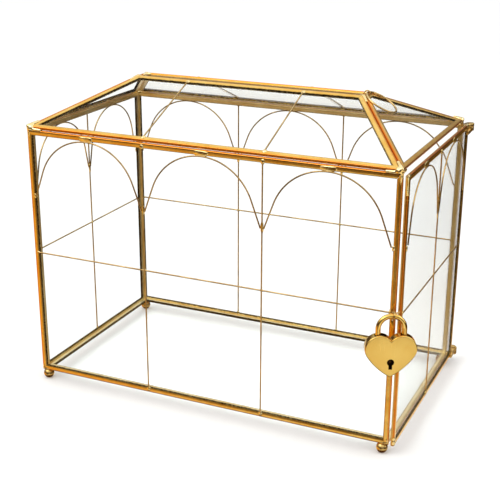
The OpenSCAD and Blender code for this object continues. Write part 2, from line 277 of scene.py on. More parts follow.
class Nodes:
    """A short hand for building one node tree."""

    def __init__(self, tree):
        self.tree = tree

    def add(self, kind, inputs=None, **settings):
        node = self.tree.nodes.new(kind)
        for key, value in settings.items():
            setattr(node, key, value)
        for key, value in (inputs or {}).items():
            if isinstance(value, bpy.types.NodeSocket):
                self.tree.links.new(value, node.inputs[key])
            else:
                node.inputs[key].default_value = value
        return node

    def link(self, source, target):
        self.tree.links.new(source, target)

    def math(self, operation, a, b=0.0, clamp=False):
        return self.add("ShaderNodeMath", {0: a, 1: b}, operation=operation, use_clamp=clamp).outputs[0]

    def mix(self, factor, a, b):
        node = self.add("ShaderNodeMix", {"Factor": factor}, data_type="RGBA")
        for socket, value in ((node.inputs[6], a), (node.inputs[7], b)):
            if isinstance(value, bpy.types.NodeSocket):
                self.link(value, socket)
            else:
                socket.default_value = value
        return node.outputs[2]

    def noise(self, vector, scale, detail=4.0, rough=0.55):
        inputs = {"Vector": vector, "Scale": scale, "Detail": detail, "Roughness": rough}
        return self.add("ShaderNodeTexNoise", inputs).outputs["Fac"]

    def stretch(self, vector, low, high):
        """Maps low..high of a value on to 0..1."""
        inputs = {"Value": vector, "From Min": low, "From Max": high}
        return self.add("ShaderNodeMapRange", inputs, clamp=True).outputs[0]


def colour(r, g, b):
    return (r, g, b, 1.0)


def new_group(name, inputs, outputs):
    """An empty shader node group with its sockets. Returns its tree, its inputs and its output node."""
    tree = bpy.data.node_groups.new(name, "ShaderNodeTree")
    kinds = {"value": "NodeSocketFloat", "colour": "NodeSocketColor"}
    for socket_name, kind, value in inputs:
        socket = tree.interface.new_socket(socket_name, in_out="INPUT", socket_type=kinds[kind])
        socket.default_value = value
    for socket_name, kind in outputs:
        tree.interface.new_socket(socket_name, in_out="OUTPUT", socket_type=kinds[kind])
    made = Nodes(tree)
    entry = made.add("NodeGroupInput")
    exit_node = made.add("NodeGroupOutput")
    return made, entry.outputs, exit_node.inputs


# Deep orange-red painted where a came's outer edge turns into the groove between cames: painted shade
# of the groove
SEAM_GROOVE_SHADE = colour(0.72, 0.2, 0.012)


def build_plating():
    """Gold plating: clouds of pale and deep colour, painted groove shade in deep orange at the seams,
    stains, painted shade along crevices, and fine marks.
    """
    made, given, out = new_group(
        "gold_plating",
        [
            ("Pale", "colour", colour(0.9, 0.6, 0.2)),
            ("Deep", "colour", colour(0.8, 0.35, 0.05)),
            ("Stain And Shade", "colour", colour(0.16, 0.07, 0.02)),
            ("Cloud Scale", "value", 60.0),
            ("Stain Amount", "value", 0.3),
            ("Crevice Shade", "value", 0.0),
            ("Seam", "value", 0.0),
            ("Base Roughness", "value", 0.2),
        ],
        [("Color", "colour"), ("Roughness", "value"), ("Height", "value")],
    )
    place = made.add("ShaderNodeTexCoord").outputs["Object"]
    cloud = made.noise(place, given["Cloud Scale"], 5.0)
    cloud = made.stretch(cloud, 0.36, 0.64)
    body = made.mix(cloud, given["Pale"], given["Deep"])
    # Painted groove shade: the seam mask turns the colour deep orange-red at the came's outer edges
    body = made.mix(made.math("MULTIPLY", given["Seam"], 0.9), body, SEAM_GROOVE_SHADE)
    spots = made.stretch(made.noise(place, 420.0, 6.0, 0.65), 0.56, 0.74)
    spots = made.math("MULTIPLY", spots, given["Stain Amount"], clamp=True)
    # Painted shade along the came's lips and channel, broken up by noise. The spots are real stains,
    # and both take the dark colour.
    edge_noise = made.stretch(made.noise(place, 900.0, 3.0), 0.25, 0.6)
    crevice_shade = made.math("MULTIPLY", given["Crevice Shade"], edge_noise, clamp=True)
    stain_and_shade = made.math("MAXIMUM", spots, crevice_shade)
    made.link(made.mix(stain_and_shade, body, given["Stain And Shade"]), out["Color"])
    fine = made.noise(place, 2600.0, 3.0, 0.6)
    rub = made.math("MULTIPLY", made.stretch(fine, 0.4, 0.75), 0.12)
    rough = made.math("ADD", given["Base Roughness"], rub)
    rough = made.math("ADD", rough, made.math("MULTIPLY", stain_and_shade, 0.35), clamp=True)
    made.link(rough, out["Roughness"])
    swell = made.noise(place, 140.0, 2.0)
    made.link(made.math("ADD", swell, made.math("MULTIPLY", fine, 0.06)), out["Height"])
    return made.tree


def build_brushing():
    """Fine lines along one direction, as left by a belt, with a few longer scratches."""
    made, given, out = new_group(
        "brushed_lines",
        [("Fine Scale", "value", 900.0), ("Strength", "value", 1.0)],
        [("Mask", "value"), ("Height", "value")],
    )
    place = made.add("ShaderNodeTexCoord").outputs["Object"]
    long_lines = made.add("ShaderNodeMapping", {"Vector": place, "Scale": (1.0, 1.0, 0.04)}).outputs[0]
    lines = made.noise(long_lines, given["Fine Scale"], 4.0, 0.6)
    scratch = made.stretch(made.noise(long_lines, 320.0, 2.0), 0.6, 0.63)
    mask = made.math("ADD", made.math("MULTIPLY", lines, 0.7), made.math("MULTIPLY", scratch, 0.3))
    mask = made.math("MULTIPLY", mask, given["Strength"])
    made.link(mask, out["Mask"])
    made.link(mask, out["Height"])
    return made.tree


def build_smudges():
    """What handling leaves on a pane: faint dull patches and a very slight waviness."""
    made, given, out = new_group(
        "pane_smudges",
        [("Patch Scale", "value", 18.0)],
        [("Roughness", "value"), ("Height", "value")],
    )
    place = made.add("ShaderNodeTexCoord").outputs["Object"]
    patch = made.stretch(made.noise(place, given["Patch Scale"], 6.0, 0.7), 0.52, 0.8)
    specks = made.stretch(made.noise(place, 1500.0, 2.0), 0.72, 0.8)
    dull = made.math("ADD", made.math("MULTIPLY", patch, 0.03), made.math("MULTIPLY", specks, 0.05))
    made.link(dull, out["Roughness"])
    made.link(made.noise(place, 7.0, 1.0), out["Height"])
    return made.tree


PLATING = build_plating()
BRUSHING = build_brushing()
SMUDGES = build_smudges()


def new_material(name):
    """An empty material. Returns it, its nodes and its output."""
    material = bpy.data.materials.new(name)
    material.use_nodes = True
    material.node_tree.nodes.clear()
    made = Nodes(material.node_tree)
    return material, made, made.add("ShaderNodeOutputMaterial")


def use_group(made, group, inputs):
    node = made.add("ShaderNodeGroup", node_tree=group)
    for key, value in inputs.items():
        if isinstance(value, bpy.types.NodeSocket):
            made.link(value, node.inputs[key])
        else:
            node.inputs[key].default_value = value
    return node.outputs


def gold(name, pale, deep, stain_and_shade_colour, rough, cloud=60.0, stains=0.3, bump=0.12, shade_crevices=False):
    """A plated metal finish."""
    material, made, out = new_material(name)
    inputs = {
        "Pale": pale,
        "Deep": deep,
        "Stain And Shade": stain_and_shade_colour,
        "Cloud Scale": cloud,
        "Stain Amount": stains,
        "Base Roughness": rough,
    }
    # The came's vertex masks: painted shade along its lips and channel, and painted groove shade at its
    # outer edges
    if shade_crevices:
        inputs["Crevice Shade"] = made.add("ShaderNodeAttribute", attribute_name="crevice_shade").outputs["Fac"]
        inputs["Seam"] = made.add("ShaderNodeAttribute", attribute_name="seam").outputs["Fac"]
    plate = use_group(made, PLATING, inputs)
    relief = made.add(
        "ShaderNodeBump", {"Height": plate["Height"], "Strength": bump, "Distance": 0.0006}
    )
    shader = made.add(
        "ShaderNodeBsdfPrincipled",
        {
            "Base Color": plate["Color"],
            "Roughness": plate["Roughness"],
            "Metallic": 1.0,
            "Normal": relief.outputs[0],
        },
    )
    made.link(shader.outputs[0], out.inputs["Surface"])
    return material


def satin_gold(name, pale, deep, rough):
    """The padlock's brushed and lacquered face."""
    material, made, out = new_material(name)
    plate = use_group(
        made,
        PLATING,
        {
            "Pale": pale,
            "Deep": deep,
            "Stain And Shade": colour(0.3, 0.13, 0.03),
            "Cloud Scale": 45.0,
            "Stain Amount": 0.06,
            "Base Roughness": rough,
        },
    )
    lines = use_group(made, BRUSHING, {"Fine Scale": 1100.0, "Strength": 1.0})
    rough_mix = made.math("ADD", plate["Roughness"], made.math("MULTIPLY", lines["Mask"], 0.12))
    relief = made.add(
        "ShaderNodeBump", {"Height": lines["Height"], "Strength": 0.1, "Distance": 0.0001}
    )
    shader = made.add(
        "ShaderNodeBsdfPrincipled",
        {
            "Base Color": plate["Color"],
            "Roughness": rough_mix,
            "Metallic": 1.0,
            "Coat Weight": 0.25,
            "Coat Roughness": 0.12,
            "Normal": relief.outputs[0],
        },
    )
    made.link(shader.outputs[0], out.inputs["Surface"])
    return material


def clear_pane(name):
    """Thin float glass that lets lamps through and stays clear where it's seen almost edge on."""
    material, made, out = new_material(name)
    film = use_group(made, SMUDGES, {"Patch Scale": 18.0})
    relief = made.add(
        "ShaderNodeBump", {"Height": film["Height"], "Strength": 0.02, "Distance": 0.001}
    )
    glass = made.add(
        "ShaderNodeBsdfPrincipled",
        {
            "Base Color": colour(0.99, 0.998, 0.992),
            "Roughness": film["Roughness"],
            "IOR": 1.05,
            "Transmission Weight": 1.0,
            "Normal": relief.outputs[0],
        },
    )
    clear = made.add("ShaderNodeBsdfTransparent", {"Color": colour(0.985, 0.995, 0.989)})
    lamp = made.add("ShaderNodeLightPath").outputs["Is Shadow Ray"]
    facing = made.add("ShaderNodeLayerWeight", {"Blend": 0.5}).outputs["Facing"]
    plain = made.math("MAXIMUM", lamp, made.math("MULTIPLY", made.stretch(facing, 0.72, 0.88), 0.97))
    mixed = made.add("ShaderNodeMixShader", {0: plain, 1: glass.outputs[0], 2: clear.outputs[0]})
    made.link(mixed.outputs[0], out.inputs["Surface"])
    return material


# Dark brown for real stain spots, and for the painted shade along the came's crevices
STAIN_AND_SHADE = colour(0.05, 0.02, 0.006)
CAME = gold(
    "came_gold",
    colour(0.92, 0.62, 0.18),
    colour(0.83, 0.46, 0.08),
    STAIN_AND_SHADE,
    0.16,
    cloud=55.0,
    stains=0.3,
    shade_crevices=True,
)
# A paler, rougher copy of the came gold for the faces inside the box: painted reflection, the whitish
# veil they take on behind the panes
CAME_INNER_PAINTED_PALE = gold(
    "came_inner_gold_painted_pale",
    colour(0.97, 0.82, 0.46),
    colour(0.86, 0.64, 0.28),
    STAIN_AND_SHADE,
    0.3,
    cloud=45.0,
    stains=0.2,
    shade_crevices=True,
)
SOLDER = gold(
    "solder_gold",
    colour(0.99, 0.86, 0.5),
    colour(0.93, 0.66, 0.24),
    STAIN_AND_SHADE,
    0.1,
    cloud=180.0,
    stains=0.22,
    bump=0.35,
)
WIRE = gold(
    "wire_gold",
    colour(0.72, 0.52, 0.24),
    colour(0.42, 0.26, 0.09),
    STAIN_AND_SHADE,
    0.18,
    cloud=90.0,
    stains=0.5,
)
FITTING = gold(
    "fitting_gold",
    colour(0.78, 0.55, 0.21),
    colour(0.55, 0.33, 0.09),
    STAIN_AND_SHADE,
    0.18,
    cloud=110.0,
)
RING = gold("ring_gold", colour(0.82, 0.62, 0.3), colour(0.55, 0.36, 0.13), STAIN_AND_SHADE, 0.14, cloud=120.0)
LOCK_FACE = satin_gold("lock_satin_gold", colour(0.95, 0.66, 0.18), colour(0.9, 0.58, 0.13), 0.24)
LOCK_RIM = gold(
    "lock_polished_gold",
    colour(0.93, 0.64, 0.2),
    colour(0.84, 0.5, 0.1),
    STAIN_AND_SHADE,
    0.1,
    cloud=70.0,
    stains=0.1,
)
# Near-black brass for the faces and parts inside the padlock: painted shade of its hollow
LOCK_INSIDE_SHADE = gold(
    "lock_inner_brass_painted_shade",
    colour(0.12, 0.06, 0.018),
    colour(0.06, 0.028, 0.008),
    STAIN_AND_SHADE,
    0.5,
    cloud=90.0,
    stains=0.5,
)
STEEL = gold(
    "spring_steel",
    colour(0.6, 0.6, 0.58),
    colour(0.5, 0.49, 0.47),
    colour(0.2, 0.16, 0.12),
    0.25,
    stains=0.2,
)
PANE = clear_pane("clear_glass")

# ---- came ------------------------------------------------------------------------------------

LIP = 0.45
CHANNEL_IN = 1.0
EDGE_R = 1.0
CROWN = 0.24
RING_STEP = 14
# How far back from the lip's tip the painted shade reaches over the came's outer face
LIP_SHADE_WID = 0.8
WAVE = 0.07
WAVE_GRAIN = 0.02


def came_profile():
    """Outline across a came: distance in from the pane's edge, height, painted shade along the lips and
    channel, and painted groove shade at the outer edge.
    """
    middle = CAME_W / 2

    def crown(d):
        return CAME_T - CROWN * abs((d - middle) / middle) ** 2.6

    tip = (crown(CAME_W) - CAME_T + LIP) / 2
    in_tip = LIP / 2
    shoulder = crown(EDGE_R)
    outer = []
    for i in range(1, 12):
        d = CAME_W - tip + (EDGE_R - CAME_W + tip) * i / 12
        # Painted shade, darkest at the lip's tip where it meets the pane
        lip_shade = max(0.0, 1 - (CAME_W - d) / LIP_SHADE_WID)
        # Painted groove shade, rising towards the outer edge
        seam_copper = max(0.0, 0.5 - (d - EDGE_R))
        outer.append((d, crown(d), lip_shade, seam_copper))
    lip_out = [(*p, 1.0, 0.0) for p in arc((CAME_W - tip, crown(CAME_W) - tip), tip, -90, 90, 6)]
    # The outer round-over carries painted groove shade, deepest at its outermost edge
    round_over = arc((EDGE_R, shoulder - EDGE_R), EDGE_R, 90, 180, 7)
    edge_out = [(*p, 0.0, min(1.0, 0.5 + 0.13 * k)) for k, p in enumerate(round_over)]
    # The inner face near its edge, the lips and the channel carry painted shade where they meet the
    # pane
    edge_in = [(*p, 0.15, 0.0) for p in arc((EDGE_R, EDGE_R), EDGE_R, 180, 270, 6)]
    inner = [(d, 0.0, stain_and_shade, 0.0) for d, stain_and_shade in ((1.6, 0.0), (2.4, 0.0), (3.2, 0.0), (3.6, 0.5))]
    lip_in = [(*p, 1.0, 0.0) for p in arc((CAME_W - in_tip, in_tip), in_tip, -90, 90, 6)]
    channel = [(CHANNEL_IN, LIP, 1.0, 0.0), (CHANNEL_IN, CAME_T - LIP, 1.0, 0.0)]
    return lip_out + outer + edge_out + edge_in + inner + lip_in + channel


PROFILE = came_profile()


def corner_lean(outline, i):
    """How a corner of an outline moves for each millimetre that the outline moves inwards."""
    def normal(a, b):
        along = (b - a).normalized()
        return Vector((-along.y, along.x))

    before = normal(outline[i - 1], outline[i])
    after = normal(outline[i], outline[(i + 1) % len(outline)])
    return (before + after) / (1 + before.dot(after))


def came_frame(name, seed):
    """Four mitred lengths of came round one face, each very slightly wavy as drawn metal is."""
    axes = AXES[name]
    outline = axes.outline
    bm = bmesh.new()
    # Masks for the painted shade along lips and channel, and for the painted groove shade at the outer
    # edge
    stain_and_shade = bm.verts.layers.float.new("crevice_shade")
    seam = bm.verts.layers.float.new("seam")
    for i in range(4):
        j = (i + 1) % 4
        along = (outline[j] - outline[i]).normalized()
        start = outline[i] + MITRE_GAP * along
        stop = outline[j] - MITRE_GAP * along
        ends = ((start, corner_lean(outline, i)), (stop, corner_lean(outline, j)))
        count = max(3, round((outline[j] - outline[i]).length / RING_STEP))
        rings = []
        for k in range(count + 1):
            t = k / count
            ring = []
            for d, h, _, _ in PROFILE:
                a, b = (at + d * lean for at, lean in ends)
                p = a.lerp(b, t)
                wave = noise.noise(Vector((p.x * WAVE_GRAIN, p.y * WAVE_GRAIN, seed + i * 3.1)))
                ring.append(axes.point(p.x, p.y, h + WAVE * (wave - 0.6) * h / CAME_T))
            rings.append(ring)
        for ring in loft(bm, rings):
            for v, (_, _, crevice_shade_amount, seam_copper) in zip(ring, PROFILE):
                v[stain_and_shade] = crevice_shade_amount
                v[seam] = seam_copper
    # Faces on the inner side take the paler copy of the gold: painted reflection
    for f in bm.faces:
        height = (f.calc_center_median() - axes.at).dot(axes.n)
        f.material_index = 1 if height < EDGE_R * 0.9 else 0
    return finish_piece(
        bm,
        name + "_came",
        body_of_face(name),
        [CAME, CAME_INNER_PAINTED_PALE],
        stands_for=[name + "_frame"],
        sharp=50,
    )


for number, face_name in enumerate(FACES):
    came_frame(face_name, number * 7.3)
    nodes[face_name + "_glass"].data.materials.clear()
    nodes[face_name + "_glass"].data.materials.append(PANE)

# ---- wires and their solder --------------------------------------------------------------------


def dab(bm, axes, x, y, lift, size, square=0.75, seed=0.0, detail=3):
    """A dab of solder on a face: a pillow of half size (along, across, high), a little uneven."""
    made = bmesh.ops.create_icosphere(bm, subdivisions=detail, radius=1.0)["verts"]
    for v in made:
        p = Vector([math.copysign(abs(a) ** square, a) for a in v.co.xy])
        p = p * (1 + 0.14 * noise.noise(v.co * 2.1 + Vector((seed, 0, 0))))
        p = Vector((p.x * size[0], p.y * size[1]))
        high = v.co.z * size[2] * (1 + 0.3 * noise.noise(v.co * 3 + Vector((0, seed, 0))))
        v.co = axes.point(x + p.x, y + p.y, lift + high)


def arch_path(axes, x, top, half_bay, foot_y):
    """The line of one arch: a splayed leg, a round and a splayed leg."""
    r = ARCH_SHARE * half_bay
    middle = Vector((x, top - r))
    foot = Vector((half_bay, foot_y - middle.y))
    start = math.atan2(foot.y, foot.x) + math.acos(r / foot.length)
    touch = Vector((r * math.cos(start), r * math.sin(start)))
    stop = touch + (foot - touch) * (1 - (2 * WIRE_R + 0.15) / (foot.x - touch.x))
    turns = [start + (math.pi - 2 * start) * k / 48 for k in range(49)]
    legs = 6
    right = [stop.lerp(touch, k / legs) for k in range(legs)]
    left = [Vector((-p.x, p.y)) for p in reversed(right)]
    flat = right + [Vector((r * math.cos(t), r * math.sin(t))) for t in turns] + left
    return [axes.point(*(middle + p), WIRE_LIFT) for p in flat]


def straight(axes, a, b, step=10):
    """The line of a straight wire between two places on a face."""
    a, b = Vector(a), Vector(b)
    count = max(2, round((b - a).length / step))
    return [axes.point(*a.lerp(b, k / count), WIRE_LIFT) for k in range(count + 1)]


# Half sizes of the solder dabs, along, across and high, by what they hold to what
RAIL_END_DAB = (1.9, 1.0, 0.55)
ARCH_TOP_DAB = (6.4, 2.1, 0.7)
ARCH_END_DAB = (1.1, 2.2, 0.5)
RAIL_CROSS_DAB = (1.3, 1.2, 0.58)
ARCH_FOOT_DAB = (1.3, 4.6, 0.58)
UPRIGHT_END_DAB = (1.7, 2.1, 0.75)
ROOF_WIRE_DAB = (1.8, 2.0, 0.7)
WIRE_END_GAP = 0.1
END_DAB_IN = 0.9


def wall_wires(name, bays):
    """Rail, uprights and arches of a wall, with the solder that holds them."""
    axes = AXES[name]
    wid, hgt = axes.outline[2]
    low = CAME_W + WIRE_END_GAP
    bay = (wid - 2 * CAME_W) / bays
    top = hgt - low - WIRE_R
    on_came, on_wire = CAME_T - 0.1, WIRE_LIFT - 0.15
    wires, solder = bmesh.new(), bmesh.new()
    sweep(wires, straight(axes, (low, RAIL_HGT), (wid - low, RAIL_HGT)), axes.n, WIRE_R)
    for side in (0, wid):
        inward = 1 if side == 0 else -1
        x = side + inward * 3.6
        dab(solder, axes, x, RAIL_HGT, on_came, RAIL_END_DAB, seed=side, detail=2)
    for i in range(bays):
        x = CAME_W + i * bay
        seed = i * 5.7 + bays
        sweep(wires, arch_path(axes, x + bay / 2, top, bay / 2, ARCH_FOOT), axes.n, WIRE_R)
        middle = x + bay / 2
        dab(solder, axes, middle, hgt - 2.7, CAME_T - 0.15, ARCH_TOP_DAB, square=0.6, seed=seed)
        if i == 0:
            dab(solder, axes, x - 0.2, ARCH_FOOT + 3, on_came, ARCH_END_DAB, seed=seed, detail=2)
        else:
            sweep(wires, straight(axes, (x, low), (x, hgt - low)), axes.n, WIRE_R)
            dab(solder, axes, x, RAIL_HGT, on_wire, RAIL_CROSS_DAB, seed=seed, detail=2)
            dab(solder, axes, x, ARCH_FOOT + 4.5, on_wire, ARCH_FOOT_DAB, seed=seed + 1, detail=2)
            for y in (CAME_W - END_DAB_IN, hgt - CAME_W + END_DAB_IN):
                dab(solder, axes, x, y, on_came, UPRIGHT_END_DAB, square=1.0, seed=seed + y)
    x = wid - CAME_W + 0.2
    dab(solder, axes, x, ARCH_FOOT + 3, on_came, ARCH_END_DAB, seed=9, detail=2)
    body = body_of_face(name)
    finish_piece(wires, name + "_wirework", body, [WIRE], stands_for=[name + "_wires"])
    finish_piece(solder, name + "_wire_solder", body, [SOLDER], sharp=80)


def roof_wires(name):
    """The two wires that run up a long side of the roof."""
    axes = AXES[name]
    low = CAME_W + WIRE_END_GAP
    bay = 2 * (HALF_LEN - CAME_W) / 3
    hgt = axes.outline[2].y
    wires, solder = bmesh.new(), bmesh.new()
    for side in (-1, 1):
        x = RISE_LEN + side * bay / 2
        sweep(wires, straight(axes, (x, low), (x, hgt - low)), axes.n, WIRE_R)
        for y in (CAME_W - END_DAB_IN, hgt - CAME_W + END_DAB_IN):
            dab(solder, axes, x, y, CAME_T - 0.15, ROOF_WIRE_DAB, square=1.0, seed=x + y)
    finish_piece(wires, name + "_wirework", "case", [WIRE], stands_for=[name + "_wires"])
    finish_piece(solder, name + "_wire_solder", "case", [SOLDER], sharp=80)


for face_name, bay_count in (("front", 3), ("back", 3), ("left", 2), ("door", 2)):
    wall_wires(face_name, bay_count)
roof_wires("roof_front")
roof_wires("roof_back")

# ---- solder at the corners -----------------------------------------------------------------------

SOLDER_GRAIN = 0.42
BALL_STEP = 0.6


def flow(bm, start, stop, r_start, r_stop, seed):
    """A run of solder as close balls from start to stop, to be melted together."""
    count = max(2, round((stop - start).length / BALL_STEP))
    for k in range(count + 1):
        t = k / count
        r = r_start + (r_stop - r_start) * t
        r *= 1 + 0.12 * noise.noise(Vector((seed, t * 4, 0)))
        matrix = Matrix.Translation(start.lerp(stop, t))
        bmesh.ops.create_icosphere(bm, subdivisions=2, radius=r, matrix=matrix)


def melted(bm, name):
    """The balls of bm melted into one smooth skin, as a new bmesh in millimetres."""
    mesh = bpy.data.meshes.new(name)
    bm.to_mesh(mesh)
    bm.free()
    blank = bpy.data.objects.new(name, mesh)
    bpy.context.scene.collection.objects.link(blank)
    remesh = blank.modifiers.new("melt", "REMESH")
    remesh.mode = "VOXEL"
    remesh.voxel_size = SOLDER_GRAIN
    smooth = blank.modifiers.new("smooth", "SMOOTH")
    smooth.factor = 0.5
    smooth.iterations = 5
    solid = blank.evaluated_get(bpy.context.evaluated_depsgraph_get())
    skin = bmesh.new()
    skin.from_mesh(solid.to_mesh())
    solid.to_mesh_clear()
    bpy.data.objects.remove(blank)
    bpy.data.meshes.remove(mesh)
    return skin


def corner_solder(name, body, runs):
    """Solder at one corner: runs of (start, stop, radius at start, radius at stop)."""
    balls = bmesh.new()
    for number, (start, stop, r_start, r_stop) in enumerate(runs):
        flow(balls, Vector(start), Vector(stop), r_start, r_stop, number * 2.3 + len(name))
    return finish_piece(melted(balls, name), name, body, [SOLDER], sharp=80)


def eave_corner(name, sx, sy):
    """Where two walls and two roof panes meet."""
    at = Vector((sx * (HALF_LEN - 1.5), sy * (HALF_WID - 1.2), EAVE_Z + 0.2))
    cap = Vector((sx * (HALF_LEN - 2.85), sy * (HALF_WID - 1.9), EAVE_Z + 1.0))
    hip = Vector((-sx * (RISE_LEN - HALF_SLOT), -sy * (RISE_WID - HALF_GAP), ROOF_RISE)).normalized()
    top = at + Vector((0, 0, 2.4))
    runs = [
        (at, at + Vector((-sx * 10.5, sy * 0.1, 0)), 1.9, 1.5),
        (at, at + Vector((0, -sy * 9, 0)), 1.8, 1.4),
        (at, at + Vector((0, 0, -8.5)), 1.75, 1.3),
        (cap, cap + Vector((-sx * 0.6, 0, 0.3)), 3.15, 3.0),
        (top, top + 8.5 * hip, 2.1, 1.5),
    ]
    corner_solder(name, "case", runs)


def slot_corner(name, sx, sy):
    """Where the roof's panes meet at an end of the card slot."""
    at = Vector((sx * (HALF_SLOT + 0.8), sy * (HALF_GAP + 0.8), SLOT_Z + 1.3))
    hip = Vector((sx * (RISE_LEN - HALF_SLOT), sy * (RISE_WID - HALF_GAP), -ROOF_RISE)).normalized()
    runs = [
        (at, at + Vector((-sx * 4, 0, 0)), 1.6, 1.2),
        (at, at + Vector((0, -sy * 4, 0)), 1.6, 1.2),
        (at, at + 7.5 * hip, 1.9, 1.4),
    ]
    corner_solder(name, "case", runs)


def foot_corner(name, sx, sy):
    """Where two walls, the base and a foot meet."""
    at = Vector((sx * (HALF_LEN - 1.5), sy * (HALF_WID - 1.4), FLOOR_Z + 1.4))
    spot = next(p for p in FOOT_SPOTS if p[0] * sx > 0 and p[1] * sy > 0)
    foot = Vector((*spot, FLOOR_Z - 0.4))
    runs = [
        (at, at + Vector((-sx * 7, 0, -0.3)), 1.8, 1.3),
        (at, at + Vector((0, -sy * 7, -0.3)), 1.8, 1.3),
        (at, at + Vector((0, 0, 7)), 1.75, 1.25),
        (at, foot, 1.8, 2.6),
    ]
    corner_solder(name, "case", runs)


def case_solder():
    """The case's corners, at the eaves, the card slot and the feet."""
    for side_x, sx in (("left", -1), ("right", 1)):
        for side_y, sy in (("front", -1), ("back", 1)):
            eave_corner(f"eave_solder_{side_y}_{side_x}", sx, sy)
            slot_corner(f"slot_solder_{side_y}_{side_x}", sx, sy)
            foot_corner(f"foot_solder_{side_y}_{side_x}", sx, sy)


def door_solder():
    """The door's corners, with a long run down from its front top corner."""
    mid = DOOR_X + CAME_T / 2
    short, long = 6, 16.5
    for side, sy in (("front", -1), ("back", 1)):
        for level, z, sz in (("top", DOOR_TOP, -1), ("bottom", FLOOR_Z, 1)):
            tail = long if (level, side) == ("top", "front") else short
            at = Vector((mid + 0.3, sy * (HALF_WID - 1.3), z + sz * 1.2))
            runs = [
                (at, at + Vector((0, sy * 0.15, sz * tail)), 1.65, 1.35),
                (at, at + Vector((0.1, -sy * 6, 0)), 1.6, 1.2),
            ]
            corner_solder(f"door_solder_{level}_{side}", "door", runs)


case_solder()
door_solder()

# ---- feet ---------------------------------------------------------------------------------------


def ball_feet():
    """Four turned balls with a small flat below and a collar where each is soldered on."""
    bm = bmesh.new()
    middle_z = FLOOR_Z / 2
    flat_angle = math.degrees(math.asin(-middle_z / FOOT_R))
    side = arc((0, middle_z), FOOT_R, flat_angle, 58, 20)
    collar = [(2.6, FLOOR_Z - 0.35), (3.1, FLOOR_Z)]
    profile = [(0, 0)] + side + collar + [(0, FLOOR_Z)]
    for spot in FOOT_SPOTS:
        at = Vector((*spot, 0))
        line = [bm.verts.new(at + Vector((x, 0, z))) for x, z in profile]
        edges = [bm.edges.new(pair) for pair in zip(line, line[1:])]
        bmesh.ops.spin(
            bm,
            geom=line + edges,
            cent=at,
            axis=(0, 0, 1),
            angle=2 * math.pi,
            steps=40,
            use_merge=True,
        )
    bmesh.ops.remove_doubles(bm, verts=bm.verts, dist=0.001)
    finish_piece(
        bm,
        "turned_ball_feet",
        "case",
        [FITTING],
        stands_for=["ball_feet"],
        sharp=50,
    )


ball_feet()

# ---- small fittings: the frame's own shapes with their edges eased ---------------------------------


def eased(node, name, body, material, width, sharp_at=28):
    """A copy of a node with its sharp edges rounded over."""
    bm = bmesh.new()
    bm.from_mesh(nodes[node].data)
    bmesh.ops.transform(bm, matrix=Matrix.Scale(1 / MM, 4) @ Matrix.Translation(-CASE), verts=bm.verts)
    bmesh.ops.remove_doubles(bm, verts=bm.verts, dist=0.002)
    bmesh.ops.dissolve_limit(
        bm, angle_limit=math.radians(1.5), use_dissolve_boundaries=False, verts=bm.verts, edges=bm.edges
    )
    limit = math.radians(sharp_at)
    edges = [e for e in bm.edges if e.is_manifold and e.calc_face_angle() > limit]
    bmesh.ops.bevel(
        bm,
        geom=edges,
        offset=width,
        segments=3,
        profile=0.5,
        affect="EDGES",
        material=-1,
        clamp_overlap=True,
    )
    return finish_piece(bm, name, body, [material], stands_for=[node])


eased("case_hinge_lugs", "case_lugs", "case", FITTING, 0.3)
eased("door_hinge_lugs", "door_lugs", "door", FITTING, 0.3)
eased("hinge_pins", "headed_pins", "case", FITTING, 0.15)

# ---- padlock ---------------------------------------------------------------------------------------

PLATE_RIM = 0.75
SHELL_RIM = 1.1
SHELL_WALL = 1.4
SEAM_EASE = 0.25
SEAM_GAP = 0.05
LEG_SLOT_T = 2.2
HEART_LOBE_STEPS = 32
HEART_SIDE_STEPS = 10
HEART_TIP_STEPS = 8


def on_lock(x, y, z):
    """A place on the padlock: x across the heart, y out of its back, z up."""
    return LOCK_AT + Matrix.Rotation(LOCK_TURN, 3, "Z") @ Vector((x, y, z))


LOCK_BACK = on_lock(0, 1, 0) - LOCK_AT


def depth_in_lock(face):
    """How far back in the padlock a face's middle is."""
    return (face.calc_center_median() - LOCK_AT).dot(LOCK_BACK)


def side_middle():
    """Middle of the bowed right side's arc, which runs on smoothly from the lobe to the tip."""
    lobe, tip = Vector((LOBE_X, LOBE_Z)), Vector((0, TIP_Z))
    to_tip, to_lobe = SIDE_R - TIP_R, SIDE_R - LOBE_R
    span = lobe - tip
    along = (to_tip**2 - to_lobe**2 + span.length_squared) / (2 * span.length)
    across = math.sqrt(to_tip**2 - along**2)
    way = span.normalized()
    return tip + along * way + across * Vector((-way.y, way.x))


SIDE_MID = side_middle()


def turn_of(a, b):
    """The way from a to b as an angle in degrees."""
    return math.degrees(math.atan2(b[1] - a[1], b[0] - a[0]))


def heart(inset, y):
    """The heart's outline moved inwards, at a depth y: right lobe, side, tip and the left half.

    Moved in further than the tip's radius, its sides meet in a point.
    """
    lobe, tip = (LOBE_X, LOBE_Z), (0, TIP_Z)
    r, side_r, tip_r = LOBE_R - inset, SIDE_R - inset, TIP_R - inset
    notch = math.degrees(math.acos(-LOBE_X / r))
    shoulder, toe = turn_of(SIDE_MID, lobe), turn_of(SIDE_MID, tip)
    pointed = tip_r < 0.05
    if pointed:
        toe = -math.degrees(math.acos(-SIDE_MID.x / side_r))
    right = arc(lobe, r, notch, shoulder, HEART_LOBE_STEPS)
    right += arc(SIDE_MID, side_r, shoulder, toe, HEART_SIDE_STEPS)[1:]
    point = [] if pointed else arc(tip, tip_r, toe, -180 - toe, HEART_TIP_STEPS)[1:-1]
    left = [(-x, z) for x, z in reversed(right)][1 if pointed else 0 : -1]
    return [on_lock(x, y, z) for x, z in right + point + left]


